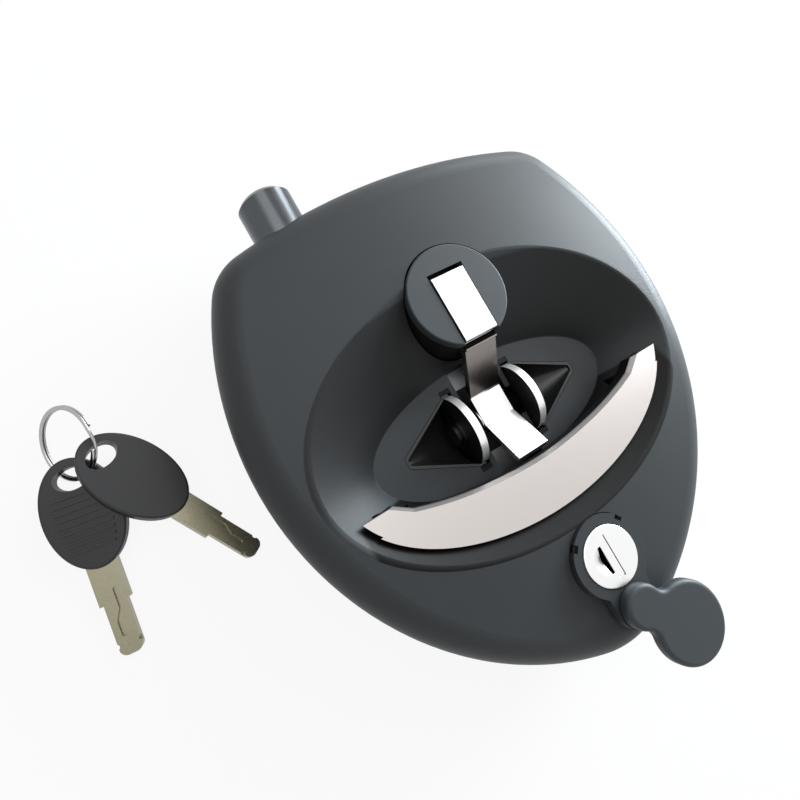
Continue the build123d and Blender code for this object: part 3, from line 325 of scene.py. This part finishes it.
def surface(name, colour, rough, metallic=0.0, vary=0.08, grain=0.3, depth=0.01, stretch=(1.0, 1.0, 1.0),
            specular=0.5):
    """A finish: colour varies in clouds, with a grain of grain mm and depth mm."""
    tree = Tree(name)
    shader = tree.shader
    shader.inputs["Metallic"].default_value = metallic
    shader.inputs["Specular IOR Level"].default_value = specular
    vector = tree.stretched(stretch)
    clouds = tree.noise(vector, CLOUD, CLOUD_ROUGH)
    fine = tree.noise(vector, grain, GRAIN_ROUGH)
    tint = tree.mixed(tree.ranged(clouds, 0.0, 1.0), scaled(colour, 1 - vary), scaled(colour, 1 + vary))
    tree.colour = tree.mixed(tree.ranged(fine, 0.0, GRAIN_SHARE), tint, scaled(colour, 1 + 2 * vary))
    tree.link(tree.colour, shader.inputs["Base Color"])
    tree.link(tree.ranged(fine, rough - ROUGH_VARY, rough + ROUGH_VARY), shader.inputs["Roughness"])
    tree.link(tree.bumped(fine, depth * MM), shader.inputs["Normal"])
    return tree


BLACK = srgb(9, 9, 10)
CASE = surface("case_slate", srgb(61, 64, 66), 0.46, vary=0.035, grain=0.34, depth=0.03, specular=0.16)
CUPS = surface("cup_black", srgb(32, 33, 33), 0.3, vary=0.1, grain=0.6, depth=0.004)
BUTTON = surface("button_slate", srgb(60, 65, 68), 0.5, vary=0.03, grain=0.34, depth=0.02, specular=0.3)
DARK = surface("dark_plastic", srgb(10, 10, 11), 0.55, vary=0.1, grain=0.4, depth=0.01, specular=0.2)
LEVER = surface("bright_lever", srgb(252, 252, 251), 0.22, metallic=1.0, vary=0.01, grain=0.5, depth=0.002,
                stretch=(6.0, 0.5, 0.5))
EARS = surface("ear_metal", srgb(252, 251, 250), 0.34, metallic=0.6, vary=0.02, grain=0.5, depth=0.002)
PIN = surface("dull_pin", srgb(58, 58, 60), 0.38, metallic=1.0, vary=0.1, grain=0.5, depth=0.003)
SATIN = surface("satin_metal", srgb(198, 192, 189), 0.34, metallic=1.0, vary=0.012, grain=0.4, depth=0.003,
                stretch=(0.4, 3.0, 3.0))
STEEL = surface("plain_steel", srgb(176, 178, 180), 0.35, metallic=1.0, vary=0.05, grain=0.5, depth=0.003)
BOLT = surface("bolt_steel", srgb(80, 83, 86), 0.22, metallic=1.0, vary=0.12, grain=0.5, depth=0.003,
               stretch=(4.0, 0.25, 4.0))
FACE = surface("face_metal", srgb(240, 240, 240), 0.3, metallic=1.0, vary=0.01, grain=0.4, depth=0.001)
BRASS = surface("brass", srgb(120, 110, 88), 0.4, metallic=1.0, vary=0.05)
COLLAR = surface("collar_plastic", srgb(50, 54, 57), 0.45, vary=0.04, grain=0.3, depth=0.012, specular=0.3)
COVER = surface("cover_plastic", srgb(56, 61, 64), 0.5, vary=0.03, grain=0.34, depth=0.02, specular=0.3)
HEADS = surface("head_plastic", srgb(24, 25, 27), 0.42, vary=0.1, grain=0.35, depth=0.02, specular=0.4)
BLADES = surface("blade_metal", srgb(138, 134, 114), 0.3, metallic=1.0, vary=0.07, grain=0.5, depth=0.004)
RING = surface("ring_steel", srgb(170, 170, 168), 0.2, metallic=1.0, vary=0.06, grain=0.6, depth=0.002)


def shade_well(tree):
    """The mechanism's well, the button's guide and the slots of ears and arms are painted black as shade."""
    # Painted shade: black in the well, around the button's guide and in the slots
    well = tree.every(tree.rise(tree.z, *FLOOR_FADE), tree.rise(tree.from_line(0.0), *WELL_EDGE))
    tree.cover(well, BLACK)
    guide = tree.band(tree.from_line(BUTTON_Y), 0.0, GUIDE_RADIUS)
    tree.cover(tree.every(guide, tree.rise(tree.z, *GUIDE_TOP)), BLACK)
    from_middle = tree.calc("ABSOLUTE", tree.x)
    ear_slots = tree.every(tree.band(from_middle, *EAR_SLOT_X), tree.band(tree.y, *EAR_SLOT_Y))
    tree.cover(tree.every(ear_slots, tree.rise(tree.z, *EAR_SLOT_TOP)), BLACK)
    arm_slots = tree.every(tree.band(from_middle, *ARM_SLOT_X), tree.band(tree.y, *ARM_SLOT_Y))
    tree.cover(tree.every(arm_slots, tree.rise(tree.z, *ARM_SLOT_TOP)), BLACK)


def shade_dish(tree):
    """Painted shade: the dish wall is darker than the front, and a painted shadow makes it black beside and
    under the crescent.
    """
    above_rim = tree.calc("MAXIMUM", tree.calc("SUBTRACT", tree.z, RIM_Z * MM), 0.0)
    lean = tree.calc("MULTIPLY", above_rim, RIM_LEAN)
    in_dish = tree.rise(tree.calc("SUBTRACT", tree.from_line(RIM_Y, RIM_SQUEEZE), lean), *RIM_EDGE)
    on_wall = tree.every(in_dish, tree.band(tree.z, *WALL_Z, WALL_SOFT))
    # Painted shade: the upper dish wall is darker
    tree.cover(tree.every(on_wall, tree.rise(tree.y, *UPPER_WALL)), srgb(38, 39, 40))
    # Painted shadow: black on the dish wall beside and under the crescent, between its ends
    between_ends = tree.rise(tree.calc("ABSOLUTE", tree.x), *PULL_ENDS)
    tree.cover(tree.every(on_wall, tree.rise(tree.y, *LOWER_WALL), between_ends), srgb(2, 2, 2))


def paint_trim_highlight(tree):
    """The bevel along the crescent's inner edge gets a painted highlight: near white and not metallic."""
    # Painted highlight: the bevel is near white
    bevel = tree.every(tree.band(tree.z, *BEVEL_Z, BEVEL_SOFT), tree.rise(tree.facing(2), *BEVEL_FACING))
    tree.cover(bevel, srgb(252, 250, 248))
    tree.link(tree.calc("SUBTRACT", 1.0, bevel), tree.shader.inputs["Metallic"])


def shade_ears(tree):
    """Dark on the sides, painted black as shade below the dish floor, and bright along the rims."""
    tree.cover(tree.rise(tree.facing(0), *EAR_FACING), srgb(42, 41, 40))
    # Painted shade: black below the dish floor, in the well
    tree.cover(tree.rise(tree.z, *EAR_FOOT), BLACK)


def shade_lever(tree):
    """The riser gets a painted reflection of the dark well, darker towards its foot; the sides are dark; the
    neck is painted black as the shadow under the tab.
    """
    riser = tree.every(tree.band(tree.y, *RISER_Y, RISER_SOFT), tree.rise(tree.z, *RISER_FOOT))
    # Painted reflection of the dark well on the riser, darker towards its foot
    tree.cover(riser, tree.mixed(tree.rise(tree.z, *RISER_FADE), srgb(92, 88, 85), srgb(142, 137, 134)))
    tree.cover(tree.rise(tree.calc("ABSOLUTE", tree.x), *LEVER_SIDES), srgb(22, 22, 23))
    # Painted shadow: the neck under the tab is black
    tree.cover(tree.every(tree.band(tree.y, *NECK_Y), tree.rise(tree.z, *NECK_Z)), srgb(14, 14, 14))


def shade_face(tree):
    """The keyway is painted dark as shade, and the seam of the cylinder's face is dark."""
    # Painted shade: the keyway's slot is dark
    keyway = tree.every(tree.band(tree.x, *KEYWAY_X, LINE_SOFT), tree.rise(tree.z, *KEYWAY_Z))
    tree.cover(keyway, srgb(30, 29, 28))
    seam = tree.every(tree.band(tree.x, *SEAM_X, LINE_SOFT), tree.rise(tree.z, *SEAM_Z))
    tree.cover(seam, srgb(60, 58, 56))


FINISHES = {
    "front_shell": CASE, "back_plate": STEEL, "case_screws": STEEL, "pocket_cups": CUPS,
    "rocker_bracket": EARS, "bracket_rivets": STEEL, "pin_bushes": PIN, "rocker_pin": PIN,
    "rocker_lever": LEVER, "button_cap": BUTTON, "button_plunger": DARK, "button_spring": STEEL,
    "pull_handle": DARK, "handle_trim": SATIN, "handle_pins": STEEL, "handle_spring_left": STEEL,
    "handle_spring_right": STEEL, "latch_bolt": BOLT, "bolt_guide": DARK, "guide_screws": STEEL,
    "draw_bar": STEEL, "bar_screw": STEEL, "cylinder_barrel": BRASS, "barrel_nut": BRASS,
    "key_plug": FACE, "lock_cam": STEEL, "cam_screw": STEEL, "cylinder_collar": COLLAR,
    "dust_cover": COVER, "cover_pin": STEEL, "key_head_low": HEADS, "key_blade_low": BLADES,
    "key_head_high": HEADS, "key_blade_high": BLADES, "key_ring": RING,
}


def dress(node, tree):
    """Gives a CAD node its finish."""
    obj = NODES[node]
    obj.data.materials.clear()
    obj.data.materials.append(tree.material)


def wound_wire(name, place, radius, section, height, last_angle, steps):
    """Wire wound about Z at place; height gives its place along Z at an angle in degrees."""
    made = bmesh.new()
    rings = []
    for step in range(steps + 1):
        angle = last_angle * step / steps
        turn = math.radians(angle)
        ring = []
        for side in range(WIRE_SIDES):
            round_angle = 2 * math.pi * side / WIRE_SIDES
            reach = radius + section[0] * math.cos(round_angle)
            level = height(angle) + section[1] * math.sin(round_angle)
            point = place @ Vector((reach * math.cos(turn), reach * math.sin(turn), level))
            ring.append(made.verts.new(point * MM))
        rings.append(ring)
    for first, second in zip(rings, rings[1:]):
        for side in range(WIRE_SIDES):
            after = (side + 1) % WIRE_SIDES
            face = made.faces.new((first[side], first[after], second[after], second[side]))
            face.smooth = True
    made.faces.new(rings[0])
    made.faces.new(rings[-1])
    bmesh.ops.recalc_face_normals(made, faces=made.faces)
    mesh = bpy.data.meshes.new(name)
    made.to_mesh(mesh)
    made.free()
    piece = bpy.data.objects.new(name, mesh)
    bpy.context.scene.collection.objects.link(piece)
    return piece


def ring_height(angle):
    """How far along the ring's axis its wire lies: one turn, a short crossing, then the other turn."""
    share = min(1.0, max(0.0, (angle - FULL_TURN + CROSSING) / CROSSING))
    return RING_OFFSET * (2 * share * share * (3 - 2 * share) - 1)


def make_split_ring():
    """Two flat turns of wire, one on the other, joined by a short crossing."""
    place = Matrix.Translation(Vector(RING_CENTRE))
    place = place @ Matrix.Rotation(math.radians(RING_TILT_Y), 4, "Y")
    place = place @ Matrix.Rotation(math.radians(RING_TILT_X), 4, "X")
    last_angle = FULL_TURN * RING_TURNS - CROSSING - END_GAP
    ring = wound_wire("split_ring", place, RING_RADIUS, RING_HALF_WIRE, ring_height, last_angle, RING_STEPS)
    ring.data.materials.append(RING.material)
    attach(ring, "keys")
    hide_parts("key_ring")


def spring_height(angle):
    """How high the spring's wire lies at an angle in degrees."""
    low = SPRING_ENDS[0] + SPRING_HALF_WIRE
    high = SPRING_ENDS[1] - SPRING_HALF_WIRE
    return low + (high - low) * angle / (FULL_TURN * SPRING_TURNS)


def make_button_spring():
    """The coil under the button."""
    place = Matrix.Translation(Vector((0.0, SPRING_Y, 0.0)))
    spring = wound_wire("pressed_spring", place, SPRING_RADIUS, (SPRING_HALF_WIRE, SPRING_HALF_WIRE),
                        spring_height, FULL_TURN * SPRING_TURNS, SPRING_STEPS)
    spring.data.materials.append(STEEL.material)
    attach(spring, "case")
    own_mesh(spring)
    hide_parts("button_spring")


def seen_share(nodes, links):
    """1 for rays from the camera or off a glossy surface, and 0 for light that falls on the object."""
    rays = nodes.new("ShaderNodeLightPath")
    share = nodes.new("ShaderNodeMath")
    share.operation = "MAXIMUM"
    links.new(rays.outputs["Is Camera Ray"], share.inputs[0])
    links.new(rays.outputs["Is Glossy Ray"], share.inputs[1])
    return share.outputs[0]


def stage_material():
    """Pale floor: white to the camera and in reflections, with the object's soft shadow."""
    tree = Tree("floor_white")
    tree.shader.inputs["Base Color"].default_value = FLOOR_COLOUR
    tree.shader.inputs["Roughness"].default_value = FLOOR_ROUGH
    glow = tree.add("ShaderNodeEmission")
    glow.inputs["Strength"].default_value = 1.0
    part = tree.calc("MULTIPLY", seen_share(tree.tree.nodes, tree.tree.links), FLOOR_GLOW)
    mix = tree.add("ShaderNodeMixShader")
    tree.link(part, mix.inputs[0])
    tree.link(tree.shader.outputs[0], mix.inputs[1])
    tree.link(glow.outputs[0], mix.inputs[2])
    tree.link(mix.outputs[0], tree.output.inputs["Surface"])
    return tree.material


def make_floor():
    """A large round floor just under the part."""
    mesh = bpy.data.meshes.new("floor")
    made = bmesh.new()
    bmesh.ops.create_circle(made, cap_ends=True, segments=FLOOR_SIDES, radius=FLOOR_RADIUS)
    made.to_mesh(mesh)
    made.free()
    floor = bpy.data.objects.new("floor", mesh)
    bpy.context.scene.collection.objects.link(floor)
    floor.location.z = FLOOR_Z
    mesh.materials.append(stage_material())


def backdrop(nodes, strength):
    """White light of a strength."""
    node = nodes.new("ShaderNodeBackground")
    node.inputs["Strength"].default_value = strength
    node.inputs["Color"].default_value = (*WHITE, 1.0)
    return node.outputs[0]


def make_world():
    """White to the camera and in reflections, and a plain soft light on the object."""
    world = bpy.data.worlds.new("world")
    bpy.context.scene.world = world
    world.use_nodes = True
    nodes = world.node_tree.nodes
    links = world.node_tree.links
    nodes.clear()
    out = nodes.new("ShaderNodeOutputWorld")
    mix = nodes.new("ShaderNodeMixShader")
    links.new(seen_share(nodes, links), mix.inputs[0])
    links.new(backdrop(nodes, WORLD_LIGHT), mix.inputs[1])
    links.new(backdrop(nodes, 1.0), mix.inputs[2])
    links.new(mix.outputs[0], out.inputs["Surface"])


def area_light(name, place, aim, size, power, colour):
    """A square soft light at place, turned to aim."""
    data = bpy.data.lights.new(name, "AREA")
    data.size = size
    data.energy = power
    data.color = colour
    light = bpy.data.objects.new(name, data)
    bpy.context.scene.collection.objects.link(light)
    light.location = place
    direction = Vector(aim) - Vector(place)
    light.rotation_mode = "QUATERNION"
    light.rotation_quaternion = direction.to_track_quat("-Z", "Y")


shade_well(CASE)
shade_dish(CASE)
paint_trim_highlight(SATIN)
shade_ears(EARS)
shade_lever(LEVER)
shade_face(FACE)
for node_name, finish in FINISHES.items():
    dress(node_name, finish)
make_button_spring()
make_split_ring()
make_camera()
make_floor()
make_world()
for light_row in LIGHTS:
    area_light(*light_row)

bpy.context.scene.view_settings.view_transform = "Standard"
